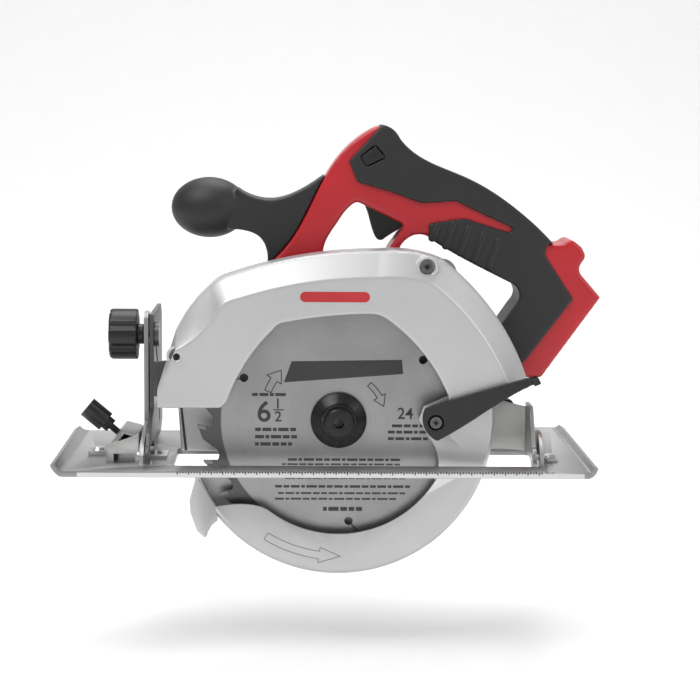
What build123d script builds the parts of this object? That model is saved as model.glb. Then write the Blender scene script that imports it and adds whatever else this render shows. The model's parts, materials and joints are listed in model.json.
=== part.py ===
from build123d import *
from math import cos, sin, radians
import os

os.makedirs("parts", exist_ok=True)

# A cordless circular saw with a 6-1/2 inch blade, without its battery pack. Millimetres.
# The origin is the middle of the shoe's underside, so Z = 0 is the surface of the work.
# +X points to the rear of the saw, +Y from the blade side to the motor side, +Z up.
# The blade turns about a line along Y, and the shoe stands at its full depth of cut.

# Blade
blade_radius = 82.55
blade_x = 8.0
blade_z = 27.0
blade_y = -37.0
plate_thickness = 1.2
kerf = 1.7
tooth_count = 24
first_tooth = 182.0
tooth_pitch = 360.0 / tooth_count
arbor_radius = 7.94
spindle_radius = 6.0

# Gears: the armature's axis stands almost above the spindle
gear_module = 0.9
spindle_teeth = 41
pinion_teeth = 10
gear_distance = gear_module * (spindle_teeth + pinion_teeth) / 2
armature_direction = 75.0
motor_x = blade_x + gear_distance * cos(radians(armature_direction))
motor_z = blade_z + gear_distance * sin(radians(armature_direction))

# Layers across the saw, as Y of each face, from the blade side to the motor side
lever_front = -58.0
lever_back = -54.0
cover_front = -53.0
cover_inside = -50.6
cover_rim = -42.0
lower_guard_front = -47.0
lower_guard_back = -27.0
casting_inside = -22.0
casting_back = -19.5
gearcase_back = 10.0
motor_back = 80.0
end_cap_back = 92.0
handle_middle = 4.0
shell_half_width = 15.5
grip_half_width = 18.0

# Guards
lower_guard_radius = 90.0
guard_wall = 1.8
nose_radius = 20.5

# Shoe
shoe_width = 150.0
shoe_thickness = 3.6
window_front = -87.5
window_rear = 124.0
window_near = -58.0
window_far = -4.0

# Hinges: depth pivot along Y, bevel pivot along X
pivot_x = -88.0
pivot_z = 50.0
bevel_y = -50.0
bevel_z = 7.5
depth_range = 28.0
bevel_range = 50.0
clamp_radius = 169.0
clamp_angle = -10.0
bevel_knob_y = -10.0
bevel_knob_z = 73.5


def side(y):
    """Plane at y that faces the blade side, with X to the right and Z up."""
    return Plane.XZ.offset(-y)


def about(x, z, y):
    """The side plane at y, with its origin on a centre line along Y."""
    return Plane(origin=(x, y, z), x_dir=(1, 0, 0), z_dir=(0, -1, 0))


def about_blade(y):
    return about(blade_x, blade_z, y)


def front(x):
    """Plane at x that faces the rear, with Y to the right and Z up."""
    return Plane.YZ.offset(x)


def polar(radius, angle):
    return (radius * cos(radians(angle)), radius * sin(radians(angle)))


def turned(x, z, steps, bore=0.0):
    """A turned piece along Y. Each step is its near face, its far face and its radius."""
    with BuildPart() as piece:
        for near, far, radius in steps:
            with BuildSketch(about(x, z, far)):
                Circle(radius)
                if bore:
                    Circle(bore, mode=Mode.SUBTRACT)
            extrude(amount=far - near)
    return piece


def screws(places, y_head, head_radius, head_height, shank_radius, length, recess=1.4):
    """Cross-recessed screws along Y, with their heads towards the blade side."""
    with BuildPart() as group:
        for x, z in places:
            with BuildSketch(about(x, z, y_head + head_height)):
                Circle(head_radius)
            extrude(amount=head_height)
            with BuildSketch(about(x, z, y_head + head_height + length)):
                Circle(shank_radius)
            extrude(amount=length)
            with BuildSketch(about(x, z, y_head)):
                Rectangle(recess * 2.2, recess * 0.5)
                Rectangle(recess * 0.5, recess * 2.2)
            extrude(amount=-recess * 0.8, mode=Mode.SUBTRACT)
    return group


def finish(piece, name):
    piece.part.label = name
    export_step(piece.part, f"parts/{name}.step")


# ---------------------------------------------------------------- blade and spindle

def tip_corners(angle):
    """A carbide tip on the cutting face of the tooth at this angle."""
    return [
        polar(blade_radius, angle),
        polar(blade_radius - 0.35, angle + 1.6),
        polar(blade_radius - 4.9, angle + 2.7),
        polar(blade_radius - 4.9, angle + 1.1),
    ]


tooth_angles = [first_tooth + tooth * tooth_pitch for tooth in range(tooth_count)]

with BuildPart() as blade:
    with BuildSketch(about_blade(blade_y + plate_thickness / 2)):
        Circle(blade_radius - 0.4)
        Circle(arbor_radius, mode=Mode.SUBTRACT)
        for angle in tooth_angles:
            with BuildLine():
                Polyline(
                    polar(75.0, angle - 4.6),
                    polar(80.0, angle - 8.6),
                    polar(82.3, angle - 14.9),
                    polar(85.5, angle - 14.9),
                    polar(85.5, angle - 7.5),
                    polar(85.5, angle - 0.7),
                    polar(74.5, angle + 1.9),
                )
                ThreePointArc(polar(74.5, angle + 1.9), polar(72.6, angle - 1.0), polar(75.0, angle - 4.6))
            make_face(mode=Mode.SUBTRACT)
            with BuildLine():
                Polyline(*tip_corners(angle), close=True)
            make_face(mode=Mode.SUBTRACT)
        for angle in (36.0, 156.0, 276.0):
            with Locations(polar(60.5, angle)):
                Circle(2.5, mode=Mode.SUBTRACT)
            with BuildLine():
                Polyline(
                    polar(60.5, angle - 0.4),
                    polar(60.5, angle + 0.4),
                    polar(74.0, angle + 7.4),
                    polar(74.0, angle + 6.7),
                    close=True,
                )
            make_face(mode=Mode.SUBTRACT)
    extrude(amount=plate_thickness)
finish(blade, "blade")

with BuildPart() as carbide_tips:
    with BuildSketch(about_blade(blade_y + kerf / 2)):
        for angle in tooth_angles:
            with BuildLine():
                Polyline(*tip_corners(angle), close=True)
            make_face()
    extrude(amount=kerf)
finish(carbide_tips, "carbide_tips")

plate_near = blade_y - plate_thickness / 2
plate_far = blade_y + plate_thickness / 2
inner_flange = turned(
    blade_x, blade_z,
    [(plate_near, plate_far, arbor_radius - 0.02), (plate_far, -31.5, 16.3)],
    bore=spindle_radius,
)
finish(inner_flange, "inner_flange")

with BuildPart() as outer_flange:
    with BuildSketch(Plane(origin=(blade_x, 0, blade_z), x_dir=(1, 0, 0), z_dir=(0, 0, 1))):
        with BuildLine():
            Polyline(
                (3.05, plate_near),
                (16.3, plate_near),
                (16.3, plate_near - 2.4),
                (10.6, plate_near - 6.6),
                (10.2, -46.0),
                (3.05, -46.0),
                close=True,
            )
        make_face()
    revolve(axis=Axis((blade_x, 0, blade_z), (0, 1, 0)))
finish(outer_flange, "outer_flange")

with BuildPart() as blade_bolt:
    with BuildSketch(about_blade(-46.0)):
        Circle(8.8)
    extrude(amount=6.0)
    chamfer(blade_bolt.faces().sort_by(Axis.Y)[0].edges(), length=1.0)
    with BuildSketch(about_blade(-28.0)):
        Circle(3.0)
    extrude(amount=18.0)
    with BuildSketch(about_blade(-52.0)):
        RegularPolygon(radius=3.0, side_count=6)
    extrude(amount=-4.0, mode=Mode.SUBTRACT)
finish(blade_bolt, "blade_bolt")

with BuildPart() as spindle:
    for near, far, radius in [(plate_near, -11.0, spindle_radius), (-11.0, 0.5, 7.0), (0.5, 7.0, 5.0)]:
        with BuildSketch(about_blade(far)):
            Circle(radius)
        extrude(amount=far - near)
    with BuildSketch(about_blade(plate_near)):
        Circle(3.02)
    extrude(amount=-12.0, mode=Mode.SUBTRACT)
finish(spindle, "spindle")


def gear(x, z, near, far, teeth, bore, phase, widths):
    """A spur gear with a tooth centred on the phase angle.

    The widths are the half angles of a tooth at its root and at its tip, in pitches.
    """
    pitch_radius = gear_module * teeth / 2
    root = pitch_radius - 1.1 * gear_module
    tip = pitch_radius + 0.8 * gear_module
    pitch = 360.0 / teeth
    with BuildPart() as wheel:
        with BuildSketch(about(x, z, far)):
            Circle(root)
            for tooth in range(teeth):
                middle = phase + tooth * pitch
                with BuildLine():
                    Polyline(
                        polar(root * 0.97, middle - widths[0] * pitch),
                        polar(tip, middle - widths[1] * pitch),
                        polar(tip, middle + widths[1] * pitch),
                        polar(root * 0.97, middle + widths[0] * pitch),
                        close=True,
                    )
                make_face()
            Circle(bore, mode=Mode.SUBTRACT)
        extrude(amount=far - near)
    return wheel


spindle_gear = gear(blade_x, blade_z, -10.0, -2.0, spindle_teeth, 7.0, armature_direction, (0.27, 0.12))
finish(spindle_gear, "spindle_gear")

# ---------------------------------------------------------------- armature

armature_shaft = turned(
    motor_x, motor_z,
    [(-11.0, 8.0, 2.5), (8.0, 84.5, 3.0)],
)
finish(armature_shaft, "armature_shaft")

pinion = gear(
    motor_x, motor_z, -11.0, -1.0, pinion_teeth, 2.5,
    armature_direction + 180.0 / pinion_teeth, (0.25, 0.1),
)
finish(pinion, "pinion")

with BuildPart() as armature_core:
    with BuildSketch(about(motor_x, motor_z, 58.0)):
        Circle(21.0)
        Circle(3.0, mode=Mode.SUBTRACT)
        with PolarLocations(18.5, 12):
            Rectangle(6.0, 1.6, mode=Mode.SUBTRACT)
    extrude(amount=32.0)
finish(armature_core, "armature_core")

with BuildPart() as windings:
    for near, far in ((20.5, 26.0), (58.0, 64.0)):
        with BuildSketch(about(motor_x, motor_z, far)):
            Circle(18.5)
            Circle(6.0, mode=Mode.SUBTRACT)
        extrude(amount=far - near)
finish(windings, "windings")

with BuildPart() as commutator:
    with BuildSketch(about(motor_x, motor_z, 76.0)):
        Circle(9.0)
        Circle(3.0, mode=Mode.SUBTRACT)
        with PolarLocations(9.0, 12):
            Rectangle(1.4, 0.5, mode=Mode.SUBTRACT)
    extrude(amount=10.0)
finish(commutator, "commutator")

with BuildPart() as fan:
    with BuildSketch(about(motor_x, motor_z, 14.5)):
        Circle(28.0)
        Circle(3.0, mode=Mode.SUBTRACT)
    extrude(amount=1.5)
    with BuildSketch(about(motor_x, motor_z, 19.5)):
        Circle(7.0)
        Circle(3.0, mode=Mode.SUBTRACT)
        with PolarLocations(18.0, 11):
            Rectangle(17.0, 1.4)
    extrude(amount=5.0)
finish(fan, "fan")

# ---------------------------------------------------------------- lower guard

def wedge(start, end):
    """A filled sector, larger than the guard, from one angle to the other."""
    rays = 8
    spread = [start + (end - start) * ray / rays for ray in range(rays + 1)]
    with BuildSketch() as sector:
        with BuildLine():
            Polyline((0, 0), *[polar(220.0, angle) for angle in spread], close=True)
        make_face()
    return sector.sketch


def arc_slot(centre, radius, start, size, width):
    """A curved slot with round ends about a centre."""
    with BuildSketch() as slot:
        with Locations(centre):
            Circle(radius + width / 2)
            Circle(radius - width / 2, mode=Mode.SUBTRACT)
        add(wedge(start, start + size).moved(Location((*centre, 0))), mode=Mode.INTERSECT)
        for angle in (start, start + size):
            end_x, end_y = polar(radius, angle)
            with Locations((centre[0] + end_x, centre[1] + end_y)):
                Circle(width / 2)
    return slot.sketch


def from_blade(points):
    """Moves points of the saw's frame to the blade's centre line."""
    return [(x - blade_x, z - blade_z) for x, z in points]


guard_start = 201.0
guard_end = 384.0
lever_screw_x = 63.4
lever_screw_z = 29.0
lip_front = from_blade([(-74.7, -4.9), (-78.5, -19.1), (-78.0, -26.3), (-74.2, -37.0), (-69.6, -41.4)])
lip_back = from_blade([(-65.5, -34.0), (-62.0, -31.0), (-63.2, -23.3)])

edge_round = 3.2

with BuildPart() as lower_guard:
    with BuildSketch(about_blade(lower_guard_back)):
        Circle(lower_guard_radius - 0.5)
        add(wedge(guard_start, guard_end), mode=Mode.INTERSECT)
        Circle(27.0)
        Circle(nose_radius + 0.05, mode=Mode.SUBTRACT)
    extrude(amount=1.5)
    section = Plane(
        origin=(blade_x, 0, blade_z),
        x_dir=(cos(radians(guard_start)), 0, sin(radians(guard_start))),
        z_dir=(-sin(radians(guard_start)), 0, cos(radians(guard_start))),
    )
    with BuildSketch(section):
        with BuildLine():
            outer = lower_guard_radius
            inner = lower_guard_radius - guard_wall
            Polyline(
                (inner, lower_guard_back),
                (outer, lower_guard_back),
                (outer, lower_guard_front + edge_round),
            )
            ThreePointArc(
                (outer, lower_guard_front + edge_round),
                (outer - edge_round * 0.293, lower_guard_front + edge_round * 0.293),
                (outer - edge_round, lower_guard_front),
            )
            Polyline(
                (outer - edge_round, lower_guard_front),
                (66.0, lower_guard_front),
                (66.0, lower_guard_front + guard_wall),
                (inner - 1.4, lower_guard_front + guard_wall),
                (inner, lower_guard_front + edge_round),
                (inner, lower_guard_back),
            )
        make_face()
    revolve(axis=Axis((blade_x, 0, blade_z), (0, -1, 0)), revolution_arc=guard_end - guard_start)
    with BuildSketch(about_blade(lower_guard_front + guard_wall)):
        with BuildLine():
            Spline(from_blade(
                [(-31.8, -25.5), (-36.4, -23.2), (-46.3, -21.4), (-56.2, -21.8), (-65.0, -23.3)]
            ))
            Polyline(from_blade(
                [(-65.0, -23.3), (-77.0, -6.0), (-72.0, 6.0), (-40.0, 14.0), (-31.8, -25.5)]
            ))
        make_face()
    extrude(amount=guard_wall + 1.0, mode=Mode.SUBTRACT)
    with BuildSketch(about_blade(lower_guard_front + guard_wall)):
        with BuildLine():
            Polyline(*lip_front, *lip_back, close=True)
        make_face()
        with BuildLine():
            Spline(from_blade([(63.8, -6.4), (66.1, 0.5), (65.7, 7.3), (62.6, 15.2), (59.1, 20.3)]))
            Polyline(from_blade([(59.1, 20.3), (54.4, 29.0), (57.0, 36.5), (76.0, 45.0), (80.0, 0.0), (63.8, -6.4)]))
        make_face()
        with Locations(from_blade([(lever_screw_x, lever_screw_z)])[0]):
            Circle(1.8, mode=Mode.SUBTRACT)
    extrude(amount=guard_wall)
    with BuildSketch(about_blade(lower_guard_back)):
        with BuildLine():
            Polyline(*lip_front)
            offset(amount=2.2, side=Side.LEFT)
        make_face()
    extrude(amount=lower_guard_back - lower_guard_front)
finish(lower_guard, "lower_guard")

with BuildPart() as guard_lever:
    with BuildSketch(side(lever_back)):
        with BuildLine():
            Spline((57.3, 37.2), (83.8, 45.7), (121.0, 56.4))
            Line((121.0, 56.4), (122.7, 52.8))
            Spline((122.7, 52.8), (112.1, 47.8), (80.8, 27.9), (64.4, 18.3))
            ThreePointArc((64.4, 18.3), (56.2, 27.5), (57.3, 37.2))
        make_face()
    extrude(amount=lever_back - lever_front)
    with BuildSketch(side(lever_front)):
        with BuildLine():
            Polyline((117.2, 55.0), (121.0, 56.4), (122.7, 52.8), (118.9, 51.2), close=True)
        make_face()
    extrude(amount=7.0)
    with BuildSketch(about(lever_screw_x, lever_screw_z, lower_guard_front)):
        Circle(5.0)
    extrude(amount=lower_guard_front - lever_back)
    with BuildSketch(about(lever_screw_x, lever_screw_z, lower_guard_front)):
        Circle(1.8)
    extrude(amount=lower_guard_front - lever_front, mode=Mode.SUBTRACT)
    with BuildSketch(about(lever_screw_x, lever_screw_z, lever_front + 1.6)):
        Circle(4.5)
    extrude(amount=1.6, mode=Mode.SUBTRACT)
finish(guard_lever, "guard_lever")

lever_screw = screws([(lever_screw_x, lever_screw_z)], lever_front, 3.3, 1.6, 1.8, 11.4)
finish(lever_screw, "lever_screw")

guard_retaining_ring = turned(blade_x, blade_z, [(-30.2, -28.9, 24.0)], bore=nose_radius)
finish(guard_retaining_ring, "guard_retaining_ring")

with BuildPart() as guard_spring:
    with BuildSketch(about_blade(casting_inside - 0.4)):
        Circle(24.6)
        Circle(22.6, mode=Mode.SUBTRACT)
    extrude(amount=4.0)
finish(guard_spring, "guard_spring")

# ---------------------------------------------------------------- upper guard and its cover

guard_bottom = 36.0
cover_screw_places = [(57.7, 117.8), (-85.4, 65.6)]
screw_seat = -47.5
clamp_x = pivot_x + clamp_radius * cos(radians(clamp_angle))
clamp_z = pivot_z + clamp_radius * sin(radians(clamp_angle))


def guard_outline():
    """The casting seen from the blade side: a flat left end, a long top and a round rear."""
    with BuildSketch() as outline:
        with BuildLine():
            Polyline((-58.0, guard_bottom), (-97.0, guard_bottom), (-97.0, 46.0), (-86.4, 79.7))
            ThreePointArc((-86.4, 79.7), (-78.0, 93.5), (-67.2, 105.0))
            ThreePointArc((-67.2, 105.0), (-62.6, 108.9), (-57.0, 111.4))
            ThreePointArc((-57.0, 111.4), (-13.5, 122.6), (30.9, 126.3))
            ThreePointArc((30.9, 126.3), (51.0, 125.8), (68.2, 120.8))
            ThreePointArc((68.2, 120.8), (97.0, 91.5), (119.0, 47.0))
            Polyline((119.0, 47.0), (71.0, 41.0), (50.0, guard_bottom), (-58.0, guard_bottom))
        make_face()
    return outline.sketch


with BuildPart() as upper_guard:
    with BuildSketch(side(casting_back)):
        add(guard_outline())
    extrude(amount=casting_back - cover_rim)
    with BuildSketch(side(casting_inside)):
        add(guard_outline())
        offset(amount=-3.0)
    extrude(amount=casting_inside - cover_rim, mode=Mode.SUBTRACT)
    with BuildSketch(about_blade(casting_inside)):
        Circle(92.5)
    extrude(amount=casting_inside - cover_rim, mode=Mode.SUBTRACT)
    with BuildSketch(about_blade(casting_back)):
        Circle(27.5)
    extrude(amount=casting_back - casting_inside)
    with BuildSketch(about_blade(casting_back)):
        Circle(nose_radius)
    extrude(amount=casting_back - casting_inside, mode=Mode.SUBTRACT)
    with BuildSketch(side(casting_back)):
        with BuildLine():
            Polyline((60.0, 41.0), (104.0, 47.0), (88.0, 14.0), (70.0, 12.0), close=True)
        make_face()
        with Locations((clamp_x, clamp_z)):
            Circle(3.0, mode=Mode.SUBTRACT)
    extrude(amount=casting_back - casting_inside)
    with BuildSketch(side(casting_back)):
        with BuildLine():
            Polyline((-86.8, 37.0), (-84.7, 5.2), (-54.0, 5.2), (-40.0, 37.0), close=True)
        make_face()
    extrude(amount=casting_back - casting_inside)
    for x, z in cover_screw_places:
        with BuildSketch(about(x, z, casting_inside)):
            Circle(4.5)
        extrude(amount=casting_inside - cover_rim)
        with BuildSketch(about(x, z, casting_inside)):
            Circle(2.0)
        extrude(amount=casting_inside - cover_rim, mode=Mode.SUBTRACT)
    with BuildSketch(about(pivot_x, pivot_z, -16.8)):
        Circle(8.0)
    extrude(amount=-16.8 - casting_back)
    with BuildSketch(about(pivot_x, pivot_z, -16.8)):
        Circle(3.0)
    extrude(amount=-16.8 - casting_inside, mode=Mode.SUBTRACT)
finish(upper_guard, "upper_guard")


def panel_outline():
    """The flat of the cover inside its broad bevel, with a corner for each of the casting's."""
    with BuildSketch() as outline:
        with BuildLine():
            Polyline((-58.0, guard_bottom), (-96.4, guard_bottom), (-96.4, 46.0), (-86.0, 69.5))
            ThreePointArc((-86.0, 69.5), (-71.9, 79.0), (-61.5, 92.5))
            ThreePointArc((-61.5, 92.5), (-57.4, 97.0), (-51.6, 99.2))
            ThreePointArc((-51.6, 99.2), (-11.1, 108.9), (29.6, 111.9))
            ThreePointArc((29.6, 111.9), (45.5, 112.0), (60.0, 109.0))
            ThreePointArc((60.0, 109.0), (88.0, 81.0), (107.0, 46.0))
            Polyline((107.0, 46.0), (71.0, 41.0), (50.0, guard_bottom), (-58.0, guard_bottom))
        make_face()
    return outline.sketch


with BuildPart() as guard_cover:
    with BuildSketch(side(cover_rim)):
        add(guard_outline())
    with BuildSketch(side(cover_front)):
        add(panel_outline())
    loft(ruled=True)
    with BuildSketch(Plane(origin=(blade_x, 0, blade_z), x_dir=(1, 0, 0), z_dir=(0, 0, 1))):
        with BuildLine():
            Polyline(
                (0.0, cover_rim),
                (93.0, cover_rim),
                (93.0, cover_rim - 1.2),
                (87.8, cover_rim - 6.4),
                (83.5, cover_inside),
                (0.0, cover_inside),
                close=True,
            )
        make_face()
    revolve(axis=Axis((blade_x, 0, blade_z), (0, 1, 0)), mode=Mode.SUBTRACT)
    for x, z in cover_screw_places:
        with BuildSketch(about(x, z, cover_rim)):
            Circle(5.6)
        extrude(amount=cover_rim - screw_seat)
    with BuildSketch(side(cover_rim)):
        with BuildLine():
            Polyline((60.0, 20.0), (-70.0, 20.0), (-66.0, 35.5), (-60.5, 36.0), (-57.0, 39.0))
            ThreePointArc((-57.0, 39.0), (-46.5, 61.2), (-30.0, 82.0))
            ThreePointArc((-30.0, 82.0), (-27.5, 84.4), (-24.1, 85.7))
            ThreePointArc((-24.1, 85.7), (3.0, 89.6), (25.8, 90.9))
            ThreePointArc((25.8, 90.9), (31.0, 89.9), (35.5, 87.4))
            ThreePointArc((35.5, 87.4), (56.5, 67.5), (70.8, 43.2))
            Polyline((70.8, 43.2), (71.5, 20.0), (60.0, 20.0))
        make_face()
    extrude(amount=20.0, mode=Mode.SUBTRACT)
    for x, z in cover_screw_places:
        with BuildSketch(about(x, z, cover_rim)):
            Circle(2.0)
        extrude(amount=12.0, mode=Mode.SUBTRACT)
        with BuildSketch(about(x, z, screw_seat)):
            Circle(4.3)
        extrude(amount=4.0, mode=Mode.SUBTRACT)
finish(guard_cover, "guard_cover")

cover_screws = screws(cover_screw_places, screw_seat - 1.8, 3.6, 1.8, 2.0, 20.0)
finish(cover_screws, "cover_screws")

# ---------------------------------------------------------------- gearcase and motor

motor_from_blade = (motor_x - blade_x, motor_z - blade_z)
motor_radius = 36.0
case_wall = 2.8


def case_outline(inset):
    Circle(22.5 - inset)
    with Locations(motor_from_blade):
        Circle(motor_radius - inset)
    make_hull()


with BuildPart() as gearcase:
    with BuildSketch(about_blade(gearcase_back)):
        case_outline(0.0)
    extrude(amount=gearcase_back - casting_back)
    with BuildSketch(about_blade(casting_back)):
        Circle(nose_radius)
    extrude(amount=10.5)
    with BuildSketch(about_blade(7.0)):
        case_outline(case_wall)
    extrude(amount=7.0 - casting_back - case_wall, mode=Mode.SUBTRACT)
    for x, z, outer, bore in [(0.0, 0.0, 11.0, 9.0), (*motor_from_blade, 9.0, 7.0)]:
        with BuildSketch(about_blade(7.0)):
            with Locations((x, z)):
                Circle(outer)
                Circle(bore, mode=Mode.SUBTRACT)
        extrude(amount=6.0)
    with BuildSketch(about_blade(casting_back + case_wall)):
        Circle(15.0)
    extrude(amount=11.3, mode=Mode.SUBTRACT)
    with BuildSketch(about_blade(casting_back)):
        Circle(8.0)
    extrude(amount=12.0, mode=Mode.SUBTRACT)
    with BuildSketch(about(motor_x, motor_z, gearcase_back)):
        Circle(3.4)
    extrude(amount=4.0, mode=Mode.SUBTRACT)
    with BuildSketch(Plane(origin=(-40.0, -6.0, 38.0), x_dir=(0, 1, 0), z_dir=(1, 0, 0))):
        Circle(2.55)
    extrude(amount=30.0, mode=Mode.SUBTRACT)
finish(gearcase, "gearcase")

spindle_front_bearing = turned(blade_x, blade_z, [(-27.5, -18.0, 15.0)], bore=spindle_radius + 0.02)
finish(spindle_front_bearing, "spindle_front_bearing")
spindle_rear_bearing = turned(blade_x, blade_z, [(1.0, 7.0, 9.0)], bore=5.02)
finish(spindle_rear_bearing, "spindle_rear_bearing")
armature_front_bearing = turned(motor_x, motor_z, [(1.0, 7.0, 7.0)], bore=2.52)
finish(armature_front_bearing, "armature_front_bearing")
armature_rear_bearing = turned(motor_x, motor_z, [(79.0, 84.0, 8.0)], bore=3.02)
finish(armature_rear_bearing, "armature_rear_bearing")


with BuildPart() as motor_housing:
    with BuildSketch(about(motor_x, motor_z, motor_back)):
        Circle(motor_radius)
        Circle(33.5, mode=Mode.SUBTRACT)
        with PolarLocations(30.2, 4, start_angle=0.0):
            Rectangle(6.9, 3.0)
    extrude(amount=motor_back - gearcase_back - 12.0)
    with BuildSketch(about(motor_x, motor_z, motor_back - 58.0)):
        Circle(motor_radius)
        Circle(33.5, mode=Mode.SUBTRACT)
    extrude(amount=12.0)
    with BuildSketch(Plane(origin=(motor_x, 71.0, motor_z), x_dir=(0, 1, 0), z_dir=(1, 0, 0))):
        Circle(6.0)
    extrude(amount=40.0, both=True, mode=Mode.SUBTRACT)
    for y in (15.0, 20.0):
        with BuildSketch(Plane(origin=(motor_x, y, motor_z), x_dir=(1, 0, 0), z_dir=(0, 0, 1))):
            Rectangle(90.0, 2.0)
        extrude(amount=5.0, both=True, mode=Mode.SUBTRACT)
finish(motor_housing, "motor_housing")

with BuildPart() as motor_end_cap:
    with BuildSketch(about(motor_x, motor_z, end_cap_back)):
        Circle(motor_radius)
    extrude(amount=end_cap_back - motor_back)
    fillet(motor_end_cap.faces().sort_by(Axis.Y)[-1].edges(), radius=8.0)
    with BuildSketch(about(motor_x, motor_z, end_cap_back - 3.0)):
        Circle(26.0)
    extrude(amount=9.0, mode=Mode.SUBTRACT)
    with BuildSketch(about(motor_x, motor_z, end_cap_back - 3.0)):
        Circle(10.5)
        Circle(8.0, mode=Mode.SUBTRACT)
    extrude(amount=10.0)
    with BuildSketch(about(motor_x, motor_z, end_cap_back)):
        with PolarLocations(20.0, 10):
            SlotOverall(8.0, 2.6)
    extrude(amount=4.0, mode=Mode.SUBTRACT)
finish(motor_end_cap, "motor_end_cap")

motor_can = turned(motor_x, motor_z, [(22.0, 65.0, 26.75)], bore=25.0)
finish(motor_can, "motor_can")

with BuildPart() as magnets:
    with BuildSketch(about(motor_x, motor_z, 62.0)):
        Circle(25.0)
        Circle(21.6, mode=Mode.SUBTRACT)
        Rectangle(14.0, 60.0, mode=Mode.SUBTRACT)
    extrude(amount=38.0)
finish(magnets, "magnets")


def paired_along_x(start, end, width, height, bore_width=0.0, bore_height=0.0):
    """A pair of square bars or tubes that point at the commutator from front and rear."""
    with BuildPart() as pair:
        for facing in (-1, 1):
            x = motor_x + facing * start
            with BuildSketch(Plane(origin=(x, 71.0, motor_z), x_dir=(0, 1, 0), z_dir=(facing, 0, 0))):
                Rectangle(width, height)
                if bore_width:
                    Rectangle(bore_width, bore_height, mode=Mode.SUBTRACT)
            extrude(amount=end - start)
    return pair


brushes = paired_along_x(9.2, 19.0, 6.0, 4.0)
finish(brushes, "brushes")
brush_holders = paired_along_x(12.0, 28.0, 8.0, 6.0, 6.04, 4.04)
finish(brush_holders, "brush_holders")

with BuildPart() as brush_caps:
    for facing in (-1, 1):
        x = motor_x + facing * 28.0
        with BuildSketch(Plane(origin=(x, 71.0, motor_z), x_dir=(0, 1, 0), z_dir=(facing, 0, 0))):
            Circle(5.95)
        extrude(amount=8.6)
        x = motor_x + facing * 36.6
        with BuildSketch(Plane(origin=(x, 71.0, motor_z), x_dir=(0, 1, 0), z_dir=(facing, 0, 0))):
            Rectangle(8.0, 1.2)
        extrude(amount=-1.4, mode=Mode.SUBTRACT)
finish(brush_caps, "brush_caps")

# ---------------------------------------------------------------- rear handle

def loop_outline():
    """The closed handle: front leg, grip, battery end, and a saddle over the motor."""
    with BuildSketch() as outline:
        with BuildLine():
            Polyline((129.8, 48.5), (164.2, 96.9), (151.3, 111.6), (151.0, 115.0), (155.0, 121.4))
            Polyline((155.0, 121.4), (152.4, 126.8), (146.9, 131.0), (144.2, 131.0), (141.0, 128.4))
            Line((141.0, 128.4), (135.6, 128.2))
            Spline((135.6, 128.2), (115.8, 146.9), (83.3, 167.4), (51.0, 182.5), (43.5, 189.8))
            ThreePointArc((43.5, 189.8), (39.0, 195.6), (32.7, 198.2))
            Spline((32.7, 198.2), (21.4, 192.2), (7.3, 179.1), (-12.1, 143.8), (-30.6, 118.3))
            Polyline((-30.6, 118.3), (-33.0, 106.0), (motor_x - 34.0, motor_z + 12.6))
            ThreePointArc(
                (motor_x - 34.0, motor_z + 12.6),
                (motor_x, motor_z + 36.26),
                (motor_x + 34.0, motor_z + 12.6),
            )
            Polyline((motor_x + 34.0, motor_z + 12.6), (62.0, 56.0), (112.0, 48.5), (129.8, 48.5))
        make_face()
        with BuildLine():
            Spline((-1.4, 122.9), (0.9, 130.9), (6.3, 139.4), (12.3, 148.0), (18.4, 152.9))
            Polyline((18.4, 152.9), (46.2, 139.4), (45.7, 137.2), (37.3, 124.9), (33.0, 108.0))
            Polyline((33.0, 108.0), (3.0, 108.0), (-1.4, 122.9))
        make_face(mode=Mode.SUBTRACT)
        with BuildLine():
            Spline((43.7, 124.9), (51.7, 133.0), (56.0, 133.8), (62.4, 130.9))
            Spline((62.4, 130.9), (77.6, 121.9), (95.0, 112.9), (110.3, 105.4))
            ThreePointArc((110.3, 105.4), (115.3, 98.5), (112.4, 91.8))
            Polyline((112.4, 91.8), (105.9, 82.2), (98.0, 74.0), (62.0, 84.0), (47.0, 104.0), (43.7, 124.9))
        make_face(mode=Mode.SUBTRACT)
    return outline.sketch


def grip_outline():
    """The soft grip: two fields above and below a stripe, joined behind it."""
    with BuildSketch() as outline:
        with BuildLine():
            Polyline((32.7, 198.2), (13.3, 176.8), (18.2, 164.4), (39.8, 158.2), (56.6, 152.1))
            Polyline((56.6, 152.1), (76.7, 153.6), (92.6, 146.0), (110.2, 138.3), (110.3, 135.1))
            Polyline((110.3, 135.1), (98.1, 138.7), (82.1, 143.8), (61.1, 140.6), (60.6, 131.8))
            Line((60.6, 131.8), (62.4, 130.9))
            Spline((62.4, 130.9), (77.6, 121.9), (95.0, 112.9), (110.3, 105.4))
            ThreePointArc((110.3, 105.4), (115.3, 98.5), (112.4, 91.8))
            Polyline((112.4, 91.8), (105.9, 82.2), (98.0, 74.0), (104.0, 54.0), (118.7, 57.6))
            Polyline((118.7, 57.6), (147.6, 96.3), (129.9, 122.7), (131.9, 129.1), (135.6, 128.2))
            Spline((135.6, 128.2), (115.8, 146.9), (83.3, 167.4), (51.0, 182.5), (43.5, 189.8))
            ThreePointArc((43.5, 189.8), (39.0, 195.6), (32.7, 198.2))
        make_face()
    return outline.sketch


button_corners = [(20.9, 179.3), (28.9, 185.4), (34.3, 179.1), (23.9, 174.3)]
button_hole = [(20.3, 179.3), (28.9, 186.0), (34.9, 179.0), (23.7, 173.7)]
grip_near = handle_middle - grip_half_width
grip_far = handle_middle + grip_half_width
shell_near = handle_middle - shell_half_width
shell_far = handle_middle + shell_half_width


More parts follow.
